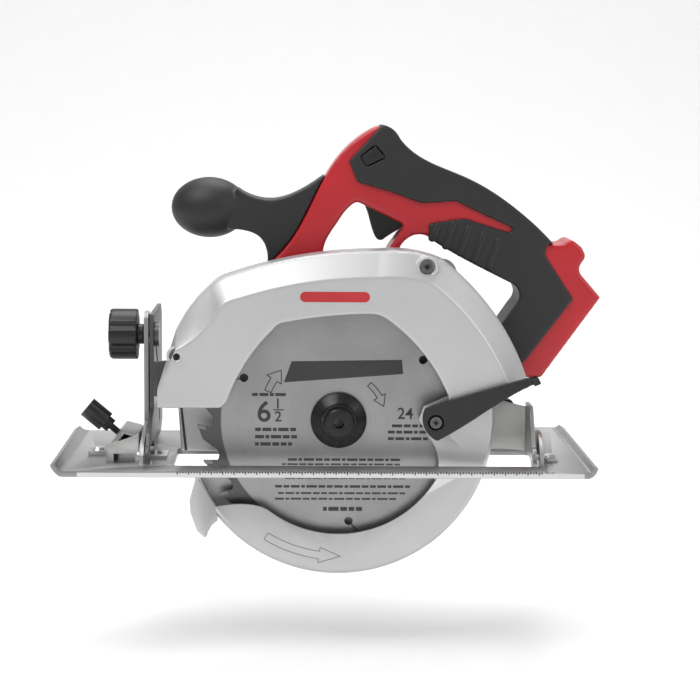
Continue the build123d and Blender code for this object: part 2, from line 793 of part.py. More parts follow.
def soft_rim():
    """The part of the grip that wraps the edges of the handle halves."""
    with BuildSketch() as core:
        with BuildLine():
            Polyline((60.0, 120.0), (0.0, 150.0), (10.0, 190.0), (31.8, 195.8))
            ThreePointArc((31.8, 195.8), (37.6, 194.1), (42.0, 188.4))
            Spline((42.0, 188.4), (50.0, 180.7), (82.4, 165.6), (114.5, 145.4), (133.9, 126.8))
            Polyline((133.9, 126.8), (150.0, 129.0), (170.0, 96.0), (130.0, 45.0), (96.0, 45.0))
            Polyline((96.0, 45.0), (99.3, 72.4), (107.6, 81.1), (114.1, 90.7))
            ThreePointArc((114.1, 90.7), (117.3, 98.4), (111.2, 107.2))
            Spline((111.2, 107.2), (95.8, 114.7), (78.5, 123.7), (63.4, 132.6))
            Polyline((63.4, 132.6), (60.0, 132.6), (60.0, 120.0))
        make_face()
    with BuildSketch() as rim:
        add(grip_outline())
        add(core.sketch, mode=Mode.SUBTRACT)
    return rim.sketch


def button_opening():
    with BuildSketch() as opening:
        with BuildLine():
            Polyline(*button_hole, close=True)
        make_face()
    return opening.sketch


with BuildPart() as grip_overmould:
    for start, depth, field in (
        (grip_far, grip_far - shell_far, grip_outline()),
        (shell_far, shell_far - shell_near, soft_rim()),
        (shell_near, shell_near - grip_near, grip_outline()),
    ):
        with BuildSketch(side(start)):
            add(field)
            add(button_opening(), mode=Mode.SUBTRACT)
        extrude(amount=depth)
finish(grip_overmould, "grip_overmould")

# The rear face slants: its own plane, with x up the face, y to the blade side, z outwards
rear_face = Plane(origin=(147.0, handle_middle, 72.7), x_dir=(0.584, 0, 0.812), z_dir=(0.812, 0, -0.584))
mount_length = 50.0
mount_width = 25.0
mount_depth = 9.0

handle_screw_places = [(-14.0, 118.0), (6.0, 160.0), (38.0, 112.0), (66.0, 68.0), (138.0, 112.0)]
handle_screw_steps = [(-7.0, shell_far - 2.4, 1.9), (shell_far - 2.4, shell_far - 0.4, 3.4)]

with BuildPart() as handle_screws:
    for x, z in handle_screw_places:
        for near, far, radius in handle_screw_steps:
            with BuildSketch(about(x, z, far)):
                Circle(radius)
            extrude(amount=far - near)
        with BuildSketch(about(x, z, shell_far - 0.4)):
            Rectangle(4.0, 0.8)
            Rectangle(0.8, 4.0)
        extrude(amount=1.0, mode=Mode.SUBTRACT)
finish(handle_screws, "handle_screws")


def handle_half(near, far):
    """Half of the clamshell handle, with its hollow, its trigger slot and its battery pocket."""
    with BuildPart() as half:
        with BuildSketch(side(far)):
            add(loop_outline())
            add(soft_rim(), mode=Mode.SUBTRACT)
            add(button_opening(), mode=Mode.SUBTRACT)
        extrude(amount=far - near)
        with BuildSketch(side(handle_middle + 11.0)):
            with BuildLine():
                Polyline(
                    (58.0, 149.0), (58.0, 168.0), (84.0, 158.0), (108.0, 142.5),
                    (126.0, 121.0), (122.0, 112.0), (100.0, 124.0), (84.0, 134.0),
                    close=True,
                )
            make_face()
        extrude(amount=22.0, mode=Mode.SUBTRACT)
        with BuildSketch(side(handle_middle + 6.5)):
            with BuildLine():
                Polyline(
                    (18.0, 152.9), (22.0, 167.0), (32.0, 171.5), (58.5, 158.0),
                    (58.5, 150.0), (51.5, 140.5), (46.7, 137.6), (45.7, 130.0), (28.0, 128.0),
                    close=True,
                )
            make_face()
        extrude(amount=13.0, mode=Mode.SUBTRACT)
        with BuildSketch(rear_face):
            Rectangle(mount_length, mount_width)
        extrude(amount=-mount_depth, mode=Mode.SUBTRACT)
        with BuildSketch(rear_face):
            Rectangle(mount_length, mount_width)
        extrude(amount=20.0, mode=Mode.SUBTRACT)
        add(handle_screws.part, mode=Mode.SUBTRACT)
        for x, z in handle_screw_places:
            with BuildSketch(about(x, z, shell_far)):
                Circle(3.4)
            extrude(amount=2.4, mode=Mode.SUBTRACT)
    return half


handle_left = handle_half(shell_near, handle_middle)
finish(handle_left, "handle_left")
handle_right = handle_half(handle_middle, shell_far)
finish(handle_right, "handle_right")

with BuildPart() as battery_mount:
    with BuildSketch(rear_face.offset(-mount_depth)):
        Rectangle(mount_length, mount_width)
    extrude(amount=2.4)
    for across in (-11.0, 11.0):
        with BuildSketch(rear_face.offset(-mount_depth)):
            with Locations((0.0, across)):
                Rectangle(mount_length, 3.0)
        extrude(amount=mount_depth - 1.0)
        with BuildSketch(rear_face.offset(-3.2)):
            with Locations((0.0, across * 0.8)):
                Rectangle(mount_length, 3.0)
        extrude(amount=2.2)
finish(battery_mount, "battery_mount")

with BuildPart() as terminal_block:
    with BuildSketch(rear_face.offset(2.4 - mount_depth)):
        with Locations((12.0, 0.0)):
            Rectangle(12.0, 14.0)
    extrude(amount=4.0)
finish(terminal_block, "terminal_block")

with BuildPart() as battery_contacts:
    with BuildSketch(rear_face.offset(2.4 - mount_depth)):
        with Locations([(-1.0, across) for across in (-5.4, -2.7, 0.0, 2.7, 5.4)]):
            Rectangle(14.0, 0.8)
    extrude(amount=3.2)
finish(battery_contacts, "battery_contacts")

knob_x = -69.0
knob_z = 148.2

with BuildPart() as front_handle:
    with BuildSketch(side(handle_middle + 13.0)):
        with BuildLine():
            Spline((-52.0, 160.0), (-43.7, 155.5), (-31.5, 153.7), (-14.5, 159.3), (-0.6, 168.5))
            Polyline((-0.6, 168.5), (7.0, 168.0), (-28.0, 112.0), (-35.6, 112.0))
            Spline((-35.6, 112.0), (-34.4, 122.0), (-38.8, 131.2), (-48.6, 135.3), (-57.0, 136.0))
            Line((-57.0, 136.0), (-52.0, 160.0))
        make_face()
    extrude(amount=26.0)
    with BuildSketch(Plane(origin=(knob_x, handle_middle, knob_z), x_dir=(1, 0, 0), z_dir=(0, -1, 0))):
        Ellipse(22.7, 18.0)
        with Locations((0.0, -20.0)):
            Rectangle(60.0, 40.0, mode=Mode.SUBTRACT)
    revolve(axis=Axis((knob_x, handle_middle, knob_z), (1, 0, 0)))
    with BuildSketch(side(shell_far)):
        add(loop_outline())
    extrude(amount=2 * shell_half_width, mode=Mode.SUBTRACT)
finish(front_handle, "front_handle")

with BuildPart() as trigger:
    with BuildSketch(side(handle_middle + 6.0)):
        with BuildLine():
            Polyline((45.4, 137.3), (46.6, 140.2), (46.2, 149.0), (26.0, 159.5), (21.2, 153.4))
            Spline((21.2, 153.4), (24.6, 147.6), (28.0, 136.0), (30.2, 131.0))
            ThreePointArc((30.2, 131.0), (32.4, 129.6), (35.6, 131.0))
            Line((35.6, 131.0), (45.4, 137.3))
        make_face()
    extrude(amount=12.0)
finish(trigger, "trigger")

with BuildPart() as lock_off_button:
    with BuildSketch(side(grip_far + 0.5)):
        with BuildLine():
            Polyline(*button_corners, close=True)
        make_face()
    extrude(amount=2 * grip_half_width + 1.0)
finish(lock_off_button, "lock_off_button")

with BuildPart() as switch_body:
    with BuildSketch(side(handle_middle + 8.0)):
        with BuildLine():
            Polyline((60.5, 149.5), (60.5, 164.5), (80.0, 157.0), (80.0, 140.0), close=True)
        make_face()
    extrude(amount=16.0)
finish(switch_body, "switch_body")

with BuildPart() as spindle_lock_button:
    with BuildSketch(Plane(origin=(-32.0, -6.0, 38.0), x_dir=(0, 1, 0), z_dir=(1, 0, 0))):
        Circle(6.0)
    extrude(amount=5.0)
    with BuildSketch(Plane(origin=(-27.0, -6.0, 38.0), x_dir=(0, 1, 0), z_dir=(1, 0, 0))):
        Circle(2.5)
    extrude(amount=11.5)
finish(spindle_lock_button, "spindle_lock_button")

# ---------------------------------------------------------------- depth frame

link_near = -18.3
link_thickness = 2.5
bracket_x = -103.5
plate_thickness_x = 2.5
knob_slot_radius = ((bevel_knob_y - bevel_y) ** 2 + (bevel_knob_z - bevel_z) ** 2) ** 0.5
knob_slot_angle = 58.8
knob_slot = arc_slot(
    (bevel_y, bevel_z), knob_slot_radius, knob_slot_angle - bevel_range - 1.5, bevel_range + 3.0, 5.6
)

with BuildPart() as front_bracket:
    with BuildSketch(front(bracket_x)):
        with BuildLine():
            Polyline((-16.3, 86.0), (44.0, 86.0), (50.0, 80.0), (52.0, 12.0), (40.0, 6.5), (-14.0, 6.5))
            Polyline((-14.0, 6.5), (-22.0, 12.0), (-46.0, 12.0), (-46.0, 20.0), (-16.3, 30.0), (-16.3, 86.0))
        make_face()
        with BuildLine():
            Polyline((-46.0, 20.0), (-50.0, 13.5), (-50.0, 1.5), (-44.5, 5.2), (-44.0, 12.0), (-46.0, 20.0))
        make_face()
        with Locations((bevel_y, bevel_z)):
            Circle(6.0)
            Circle(2.0, mode=Mode.SUBTRACT)
        add(knob_slot, mode=Mode.SUBTRACT)
    extrude(amount=plate_thickness_x)
    with BuildSketch(side(-13.8)):
        with BuildLine():
            Polyline((-102.0, 37.0), (-102.0, 57.5), (-88.0, 59.0), (-80.0, 54.5), (-80.0, 45.0), (-88.0, 37.0))
            Line((-88.0, 37.0), (-102.0, 37.0))
        make_face()
        with Locations((pivot_x, pivot_z)):
            Circle(3.04, mode=Mode.SUBTRACT)
    extrude(amount=2.5)
finish(front_bracket, "front_bracket")

depth_pivot_pin = turned(pivot_x, pivot_z, [(-22.0, -13.3, 3.0), (-13.3, -11.0, 5.0)])
finish(depth_pivot_pin, "depth_pivot_pin")

link_inner = clamp_radius - 8.0
link_outer = clamp_radius + 8.0
with BuildPart() as depth_link:
    with BuildSketch(about(pivot_x, pivot_z, link_near + link_thickness)):
        Circle(link_outer)
        Circle(link_inner, mode=Mode.SUBTRACT)
        add(wedge(clamp_angle - 4.0, clamp_angle + depth_range + 3.5), mode=Mode.INTERSECT)
        with Locations(polar(clamp_radius, clamp_angle + depth_range + 3.5)):
            Circle(8.0)
        with BuildLine():
            Polyline(
                polar(link_inner, clamp_angle - 4.0),
                (119.9 - pivot_x, 5.5 - pivot_z),
                (119.9 - pivot_x, 32.0 - pivot_z),
                (104.0 - pivot_x, 36.0 - pivot_z),
                polar(link_outer, clamp_angle + 4.0),
                polar(clamp_radius, clamp_angle),
                close=True,
            )
        make_face()
        add(arc_slot((0, 0), clamp_radius, clamp_angle - 0.6, depth_range + 1.2, 6.8), mode=Mode.SUBTRACT)
    extrude(amount=link_thickness)
    with BuildSketch(front(119.9)):
        with BuildLine():
            Polyline(
                (link_near + link_thickness, 5.5), (link_near + link_thickness, 34.8), (-33.0, 34.8),
                (-50.0, 13.5), (-50.0, 1.5), (-44.0, 5.5), close=True,
            )
        make_face()
        with Locations((bevel_y, bevel_z)):
            Circle(6.0)
            Circle(2.0, mode=Mode.SUBTRACT)
    extrude(amount=plate_thickness_x)
finish(depth_link, "depth_link")

with BuildPart() as bevel_pins:
    for start, end, head in ((-107.0, bracket_x + plate_thickness_x, -108.2), (119.9, 127.9, 127.9)):
        with BuildSketch(Plane(origin=(start, bevel_y, bevel_z), x_dir=(0, 1, 0), z_dir=(1, 0, 0))):
            Circle(2.0)
        extrude(amount=end - start)
        with BuildSketch(Plane(origin=(head, bevel_y, bevel_z), x_dir=(0, 1, 0), z_dir=(1, 0, 0))):
            Circle(2.6)
        extrude(amount=1.2)
finish(bevel_pins, "bevel_pins")

# The clamp bolt holds the link against the casting, and the depth lever tightens it
depth_clamp_bolt = turned(clamp_x, clamp_z, [(-23.6, casting_inside, 5.5), (casting_inside, -5.0, 3.0)])
finish(depth_clamp_bolt, "depth_clamp_bolt")

with BuildPart() as depth_lever:
    with BuildSketch(about(clamp_x, clamp_z, -6.0)):
        Circle(7.0)
        with BuildLine():
            Polyline(polar(7.0, 95.0), polar(34.0, 24.0), polar(34.0, 13.0), polar(7.0, -60.0), close=True)
        make_face()
        with Locations(polar(33.0, 18.5)):
            Circle(4.2)
        Circle(3.04, mode=Mode.SUBTRACT)
    extrude(amount=5.0)
    with BuildSketch(about(clamp_x, clamp_z, -11.0)):
        Circle(7.0)
        Circle(3.04, mode=Mode.SUBTRACT)
    extrude(amount=4.5)
finish(depth_lever, "depth_lever")

# ---------------------------------------------------------------- shoe

notch_pitch = 3.175
notch_count = 64
first_notch_x = -71.0

rivet_places = [
    (-99.0, -30.0, 2.0), (-133.6, -20.0, 2.0), (132.0, -37.0, 2.0),
]
with BuildPart() as shoe_rivets:
    for x, y, stack in rivet_places:
        with BuildSketch(Plane.XY.offset(shoe_thickness + stack)):
            with Locations((x, y)):
                Circle(4.0)
        extrude(amount=1.6, taper=35.0)
        with BuildSketch(Plane.XY.offset(0.4)):
            with Locations((x, y)):
                Circle(2.0)
        extrude(amount=shoe_thickness + stack - 0.4)
finish(shoe_rivets, "shoe_rivets")

with BuildPart() as shoe:
    with BuildSketch(side(shoe_width / 2)):
        with BuildLine():
            Line((-147.5, 0.0), (150.0, 0.0))
            ThreePointArc((150.0, 0.0), (154.0, 1.4), (156.0, 4.6))
            Line((156.0, 4.6), (152.9, 6.2))
            ThreePointArc((152.9, 6.2), (151.6, 4.4), (149.5, shoe_thickness))
            Line((149.5, shoe_thickness), (-147.0, shoe_thickness))
            ThreePointArc((-147.0, shoe_thickness), (-150.6, 4.6), (-153.0, 7.4))
            Line((-153.0, 7.4), (-156.0, 5.6))
            ThreePointArc((-156.0, 5.6), (-152.4, 1.6), (-147.5, 0.0))
        make_face()
    extrude(amount=shoe_width)
    with BuildSketch(Plane.XY.offset(-1.0)):
        with BuildLine():
            Polyline(
                (-157.0, -68.0), (-150.0, -75.0), (150.0, -75.0), (157.0, -67.0), (157.0, 66.0),
                (148.0, 75.0), (-52.0, 75.0), (-68.0, 57.0), (-148.0, 57.0), (-157.0, 48.0), close=True,
            )
        make_face()
    extrude(amount=12.0, mode=Mode.INTERSECT)
    with BuildSketch(Plane.XY.offset(-1.0)):
        with Locations(((window_front + window_rear) / 2, (window_near + window_far) / 2)):
            RectangleRounded(window_rear - window_front, window_far - window_near, 3.0)
        with Locations((bracket_x + 1.2, bevel_y + 0.5)):
            Rectangle(4.6, 15.0)
    extrude(amount=12.0, mode=Mode.SUBTRACT)
    with BuildSketch(Plane.XY.offset(shoe_thickness)):
        for notch in range(notch_count):
            deep = notch % 4 == 0
            with Locations((first_notch_x + notch * notch_pitch, -shoe_width / 2)):
                Rectangle(1.1, 5.2 if deep else 3.0)
    extrude(amount=-0.7, mode=Mode.SUBTRACT)
    add(shoe_rivets.part, mode=Mode.SUBTRACT)
finish(shoe, "shoe")

with BuildPart() as front_upright:
    with BuildSketch(front(-106.8)):
        with BuildLine():
            Polyline((-17.0, 84.0), (-14.0, 87.0), (-6.0, 87.0), (-3.0, 84.0), (-3.0, 3.6), (-42.0, 3.6))
            Polyline((-42.0, 3.6), (-57.0, 3.6), (-57.0, 9.0), (-50.0, 14.5), (-17.0, 22.0), (-17.0, 84.0))
        make_face()
        with Locations((bevel_y, bevel_z)):
            Circle(2.05, mode=Mode.SUBTRACT)
        with Locations((bevel_knob_y, bevel_knob_z)):
            Circle(2.45, mode=Mode.SUBTRACT)
    extrude(amount=2.6)
    with BuildSketch(Plane.XY.offset(shoe_thickness)):
        with Locations((-99.0, -30.0)):
            Rectangle(14.0, 18.0)
    extrude(amount=2.0)
    add(shoe_rivets.part, mode=Mode.SUBTRACT)
finish(front_upright, "front_upright")

bevel_bolt_plane = Plane(
    origin=(-118.0, bevel_knob_y, bevel_knob_z), x_dir=(0, 1, 0), z_dir=(1, 0, 0)
)
with BuildPart() as bevel_bolt:
    with BuildSketch(bevel_bolt_plane):
        Circle(2.4)
    extrude(amount=20.0)
    with BuildSketch(Plane(origin=(-100.7, bevel_knob_y, bevel_knob_z), x_dir=(0, 1, 0), z_dir=(1, 0, 0))):
        Circle(7.2)
    extrude(amount=2.7)
finish(bevel_bolt, "bevel_bolt")

with BuildPart() as bevel_knob:
    with BuildSketch(Plane(origin=(-127.2, bevel_knob_y, bevel_knob_z), x_dir=(0, 1, 0), z_dir=(1, 0, 0))):
        Circle(15.0)
        with PolarLocations(16.6, 7):
            Circle(3.0, mode=Mode.SUBTRACT)
    extrude(amount=16.4)
    fillet(bevel_knob.faces().sort_by(Axis.X)[0].edges(), radius=1.6)
    with BuildSketch(Plane(origin=(-110.8, bevel_knob_y, bevel_knob_z), x_dir=(0, 1, 0), z_dir=(1, 0, 0))):
        Circle(6.0)
    extrude(amount=3.7)
    with BuildSketch(Plane(origin=(-118.2, bevel_knob_y, bevel_knob_z), x_dir=(0, 1, 0), z_dir=(1, 0, 0))):
        Circle(2.44)
    extrude(amount=12.0, mode=Mode.SUBTRACT)
finish(bevel_knob, "bevel_knob")

with BuildPart() as rear_pivot_bracket:
    with BuildSketch(front(124.0)):
        with BuildLine():
            Polyline((-56.0, 3.6), (-56.0, 10.0), (-48.0, 18.0), (-42.0, 21.0), (-32.0, 21.0), (-29.0, 3.6))
            Line((-29.0, 3.6), (-56.0, 3.6))
        make_face()
        with Locations((bevel_y, bevel_z)):
            Circle(2.05, mode=Mode.SUBTRACT)
    extrude(amount=2.4)
    with BuildSketch(Plane.XY.offset(shoe_thickness)):
        with Locations((130.0, -37.0)):
            Rectangle(12.0, 16.0)
    extrude(amount=2.0)
    add(shoe_rivets.part, mode=Mode.SUBTRACT)
finish(rear_pivot_bracket, "rear_pivot_bracket")

fence_slot_x = -116.0
fence_slot_width = 12.4
fence_slot_height = 4.6

with BuildPart() as fence_bracket:
    with BuildSketch(side(-44.5)):
        with BuildLine():
            Polyline((-126.5, 3.6), (-126.5, 13.1), (-107.6, 19.5), (-107.6, 3.6), close=True)
        make_face()
    extrude(amount=2.5)
    with BuildSketch(side(-14.0)):
        with BuildLine():
            Polyline(
                (-126.5, 3.6), (-126.5, 10.9), (-117.2, 22.1), (-107.6, 19.5), (-107.6, 3.6), close=True,
            )
        make_face()
    extrude(amount=30.5)
    with BuildSketch(side(-16.0)):
        with BuildLine():
            Polyline(
                (-124.2, 3.6), (-124.2, 9.8), (-116.2, 19.4), (-109.8, 17.6), (-109.8, 3.6), close=True,
            )
        make_face()
    extrude(amount=28.5, mode=Mode.SUBTRACT)
    with BuildSketch(side(0.0)):
        with Locations((fence_slot_x, shoe_thickness + fence_slot_height / 2)):
            Rectangle(fence_slot_width, fence_slot_height)
    extrude(amount=60.0, mode=Mode.SUBTRACT)
    with BuildSketch(Plane.XY.offset(shoe_thickness)):
        with Locations((-132.6, -20.0)):
            Rectangle(13.0, 12.0)
    extrude(amount=2.0)
    add(shoe_rivets.part, mode=Mode.SUBTRACT)
    with BuildSketch(Plane(origin=(-121.85, -21.0, 16.5), x_dir=(0, 1, 0), z_dir=(0.768, 0, -0.64))):
        Circle(2.0)
    extrude(amount=6.0, both=True, mode=Mode.SUBTRACT)
finish(fence_bracket, "fence_bracket")

fence_screw_axis = (0.768, 0, -0.64)
fence_knob_start = (-139.9, -21.0, 31.5)
with BuildPart() as fence_knob:
    fence_knob_plane = Plane(origin=fence_knob_start, x_dir=(0, 1, 0), z_dir=fence_screw_axis)
    with BuildSketch(fence_knob_plane):
        Circle(6.2)
        with PolarLocations(6.9, 10):
            Circle(1.0, mode=Mode.SUBTRACT)
    extrude(amount=14.0)
    with BuildSketch(fence_knob_plane.offset(14.0)):
        Circle(4.2)
    extrude(amount=4.0)
    with BuildSketch(fence_knob_plane.offset(18.0)):
        Circle(1.95)
    extrude(amount=12.0)
finish(fence_knob, "fence_knob")
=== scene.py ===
import json
import math

import bmesh
import bpy
from mathutils import Matrix, Vector


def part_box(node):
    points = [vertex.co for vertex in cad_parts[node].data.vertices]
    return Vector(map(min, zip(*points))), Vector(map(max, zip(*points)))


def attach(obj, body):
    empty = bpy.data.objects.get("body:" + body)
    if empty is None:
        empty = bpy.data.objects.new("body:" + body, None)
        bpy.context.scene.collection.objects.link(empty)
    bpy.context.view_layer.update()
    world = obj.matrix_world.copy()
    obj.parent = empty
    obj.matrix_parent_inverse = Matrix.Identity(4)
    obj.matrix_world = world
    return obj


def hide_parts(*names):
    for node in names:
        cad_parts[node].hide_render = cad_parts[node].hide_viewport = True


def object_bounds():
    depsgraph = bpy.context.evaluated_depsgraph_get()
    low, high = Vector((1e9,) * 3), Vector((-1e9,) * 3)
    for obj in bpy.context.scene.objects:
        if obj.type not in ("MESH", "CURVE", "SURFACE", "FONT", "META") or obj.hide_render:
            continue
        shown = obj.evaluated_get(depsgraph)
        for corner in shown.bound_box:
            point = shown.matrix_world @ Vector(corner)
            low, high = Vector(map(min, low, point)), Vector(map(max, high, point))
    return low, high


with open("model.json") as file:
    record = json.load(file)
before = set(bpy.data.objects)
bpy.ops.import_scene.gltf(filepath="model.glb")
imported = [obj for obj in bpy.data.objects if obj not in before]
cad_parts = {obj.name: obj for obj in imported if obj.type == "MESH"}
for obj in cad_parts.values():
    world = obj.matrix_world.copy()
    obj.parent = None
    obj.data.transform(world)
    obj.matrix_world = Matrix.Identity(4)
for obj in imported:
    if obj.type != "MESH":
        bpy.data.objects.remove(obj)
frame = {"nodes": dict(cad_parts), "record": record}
cad_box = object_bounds()
nodes = frame["nodes"]
bodies = frame["record"]["behaviour"]["bodies"]
body_of = {node: body for body, names in bodies.items() for node in names}
slot_of = {part["node"]: part["material_slot"] for part in frame["record"]["subparts"]}
scene = bpy.context.scene

MM = 0.001
BLADE_X, BLADE_Z = 8.0, 27.0
BLADE_FACE = -37.6
COVER_FACE = -53.0
LOWER_GUARD_FACE = -47.0
CASTING_FACE = -22.0
PARTING = 4.0
SHARP_ANGLE = 28.0


# Materials: each one has its own grain, tone, roughness and bump.

def coat(name, colour, roughness, metallic=0.0, grain=900.0, bump=0.15, tone=0.12, stretch=(1, 1, 1),
         edge_highlight=None, clear=0.0, depth=0.0002):
    """A surface with uneven tone, grain in its roughness and bump, and a painted highlight that lightens
    its edges towards a colour.
    """
    material = bpy.data.materials.new(name)
    material.use_nodes = True
    tree = material.node_tree
    shader = tree.nodes["Principled BSDF"]
    shader.inputs["Metallic"].default_value = metallic
    shader.inputs["Coat Weight"].default_value = clear
    shader.inputs["Coat Roughness"].default_value = 0.18
    place = tree.nodes.new("ShaderNodeTexCoord")
    scale = tree.nodes.new("ShaderNodeMapping")
    scale.inputs["Scale"].default_value = stretch
    tree.links.new(place.outputs["Object"], scale.inputs["Vector"])
    broad = tree.nodes.new("ShaderNodeTexNoise")
    broad.inputs["Scale"].default_value = 28.0
    broad.inputs["Detail"].default_value = 6.0
    tree.links.new(place.outputs["Object"], broad.inputs["Vector"])
    fine = tree.nodes.new("ShaderNodeTexNoise")
    fine.inputs["Scale"].default_value = grain
    fine.inputs["Detail"].default_value = 3.0
    tree.links.new(scale.outputs["Vector"], fine.inputs["Vector"])
    ramp = tree.nodes.new("ShaderNodeValToRGB")
    ramp.color_ramp.elements[0].position = 0.3
    ramp.color_ramp.elements[1].position = 0.7
    ramp.color_ramp.elements[0].color = [c * (1 - tone) for c in colour] + [1]
    ramp.color_ramp.elements[1].color = [min(1, c * (1 + tone)) for c in colour] + [1]
    tree.links.new(broad.outputs["Fac"], ramp.inputs["Fac"])
    paint = ramp.outputs["Color"]
    # Painted highlight: edges found by pointiness are mixed towards a lighter colour.
    if edge_highlight:
        shape = tree.nodes.new("ShaderNodeNewGeometry")
        edge = tree.nodes.new("ShaderNodeValToRGB")
        edge.color_ramp.elements[0].position = 0.53
        edge.color_ramp.elements[1].position = 0.62
        edge.color_ramp.elements[1].color = (0.75, 0.75, 0.75, 1)
        tree.links.new(shape.outputs["Pointiness"], edge.inputs["Fac"])
        mix = tree.nodes.new("ShaderNodeMix")
        mix.data_type = "RGBA"
        mix.inputs["B"].default_value = tuple(edge_highlight) + (1,)
        tree.links.new(edge.outputs["Color"], mix.inputs["Factor"])
        tree.links.new(paint, mix.inputs["A"])
        paint = mix.outputs["Result"]
    tree.links.new(paint, shader.inputs["Base Color"])
    rough = tree.nodes.new("ShaderNodeMapRange")
    rough.inputs["To Min"].default_value = roughness * 0.75
    rough.inputs["To Max"].default_value = min(1.0, roughness * 1.25)
    tree.links.new(fine.outputs["Fac"], rough.inputs["Value"])
    tree.links.new(rough.outputs["Result"], shader.inputs["Roughness"])
    relief = tree.nodes.new("ShaderNodeBump")
    relief.inputs["Strength"].default_value = bump
    relief.inputs["Distance"].default_value = depth
    tree.links.new(fine.outputs["Fac"], relief.inputs["Height"])
    tree.links.new(relief.outputs["Normal"], shader.inputs["Normal"])
    return material


def ground(name, inner, outer, border):
    """Steel ground in circles about the blade's axis, with a darker ring outside the border radius."""
    material = coat(name, inner, 0.34, metallic=0.85, grain=500.0)
    tree = material.node_tree
    shader = tree.nodes["Principled BSDF"]
    place = tree.nodes.new("ShaderNodeTexCoord")
    centre = tree.nodes.new("ShaderNodeVectorMath")
    centre.operation = "SUBTRACT"
    centre.inputs[1].default_value = (BLADE_X * MM, 0, BLADE_Z * MM)
    flat = tree.nodes.new("ShaderNodeVectorMath")
    flat.operation = "MULTIPLY"
    flat.inputs[1].default_value = (1, 0, 1)
    reach = tree.nodes.new("ShaderNodeVectorMath")
    reach.operation = "LENGTH"
    rings = tree.nodes.new("ShaderNodeTexNoise")
    rings.noise_dimensions = "1D"
    rings.inputs["Scale"].default_value = 2600.0
    rings.inputs["Detail"].default_value = 2.0
    zone = tree.nodes.new("ShaderNodeMapRange")
    zone.inputs["From Min"].default_value = (border - 0.25) * MM
    zone.inputs["From Max"].default_value = (border + 0.25) * MM
    shade = tree.nodes.new("ShaderNodeMix")
    shade.data_type = "RGBA"
    shade.inputs["B"].default_value = tuple(outer) + (1,)
    streak = tree.nodes.new("ShaderNodeMix")
    streak.data_type = "RGBA"
    streak.blend_type = "MULTIPLY"
    streak.inputs["Factor"].default_value = 0.45
    old = shader.inputs["Base Color"].links[0].from_socket
    tree.links.new(place.outputs["Object"], centre.inputs[0])
    tree.links.new(centre.outputs["Vector"], flat.inputs[0])
    tree.links.new(flat.outputs["Vector"], reach.inputs[0])
    tree.links.new(reach.outputs["Value"], rings.inputs["W"])
    tree.links.new(reach.outputs["Value"], zone.inputs["Value"])
    tree.links.new(zone.outputs["Result"], shade.inputs["Factor"])
    tree.links.new(old, shade.inputs["A"])
    tree.links.new(shade.outputs["Result"], streak.inputs["A"])
    tree.links.new(rings.outputs["Fac"], streak.inputs["B"])
    tree.links.new(streak.outputs["Result"], shader.inputs["Base Color"])
    return material


RED = (0.43, 0.008, 0.015)
# The lighter edge colour given to a material is a painted highlight along its edges.
materials = {
    "red_plastic": coat("moulded_red", RED, 0.36, grain=2200, bump=0.12, tone=0.07,
                        edge_highlight=(0.62, 0.06, 0.07), clear=0.15),
    "soft_grip": coat("soft_black", (0.011, 0.011, 0.012), 0.52, grain=2600, bump=0.3, tone=0.16,
                      edge_highlight=(0.035, 0.035, 0.037)),
    "black_plastic": coat("moulded_black", (0.007, 0.007, 0.008), 0.36, grain=1800, bump=0.2,
                          edge_highlight=(0.06, 0.06, 0.06)),
    "cast_magnesium": coat("silver_paint", (0.50, 0.50, 0.505), 0.40, metallic=0.45, grain=3200,
                           bump=0.06, tone=0.035, edge_highlight=(0.72, 0.72, 0.72), clear=0.15),
    "guard_metal": coat("satin_guard", (0.50, 0.50, 0.50), 0.36, metallic=0.6, grain=3200, bump=0.04,
                        tone=0.05, edge_highlight=(0.74, 0.74, 0.74)),
    "blade_steel": ground("ground_steel", (0.40, 0.40, 0.40), (0.13, 0.13, 0.13), 68.6),
    "carbide": coat("carbide", (0.20, 0.20, 0.21), 0.30, metallic=0.9, grain=2500, bump=0.2),
    "black_steel": coat("black_oxide", (0.022, 0.022, 0.024), 0.34, metallic=0.6, grain=1500, bump=0.2,
                        edge_highlight=(0.16, 0.16, 0.16)),
    "machined_steel": coat("machined_steel", (0.56, 0.56, 0.55), 0.28, metallic=0.95, grain=1500,
                           stretch=(1, 6, 1)),
    "laminations": coat("laminations", (0.2, 0.2, 0.21), 0.45, metallic=0.8, stretch=(1, 8, 1)),
    "copper": coat("copper", (0.66, 0.34, 0.17), 0.3, metallic=0.95, stretch=(1, 1, 7)),
    "sheet_steel": coat("plated_sheet", (0.34, 0.34, 0.335), 0.36, metallic=0.85, grain=700, bump=0.12,
                        stretch=(0.15, 1, 1), edge_highlight=(0.78, 0.78, 0.77)),
    "shoe_metal": coat("shoe_metal", (0.27, 0.27, 0.27), 0.38, metallic=0.85, grain=900, bump=0.16,
                       stretch=(0.06, 1, 1), edge_highlight=(0.62, 0.62, 0.62)),
}
printed_black = coat("printed_black", (0.03, 0.03, 0.032), 0.5, grain=1400, bump=0.05)
printed_red = coat("printed_red", (0.45, 0.02, 0.025), 0.45, grain=1400, bump=0.05)
bright_edge = coat("bright_edge", (0.62, 0.62, 0.62), 0.34, metallic=0.35, grain=1500, bump=0.05, tone=0.05,
                   stretch=(0.05, 1, 1))
# Painted shade: darker strokes for the shading along the lower guard's embossed arrow outline.
arrow_relief_shade = coat("painted_arrow_shade", (0.22, 0.22, 0.22), 0.5, metallic=0.3, grain=1600, bump=0.05)
# Painted shade: a near-black colour for the shade in a narrow groove.
painted_groove_shade = coat("painted_groove_shade", (0.035, 0.035, 0.035), 0.6, grain=1400, bump=0.05)
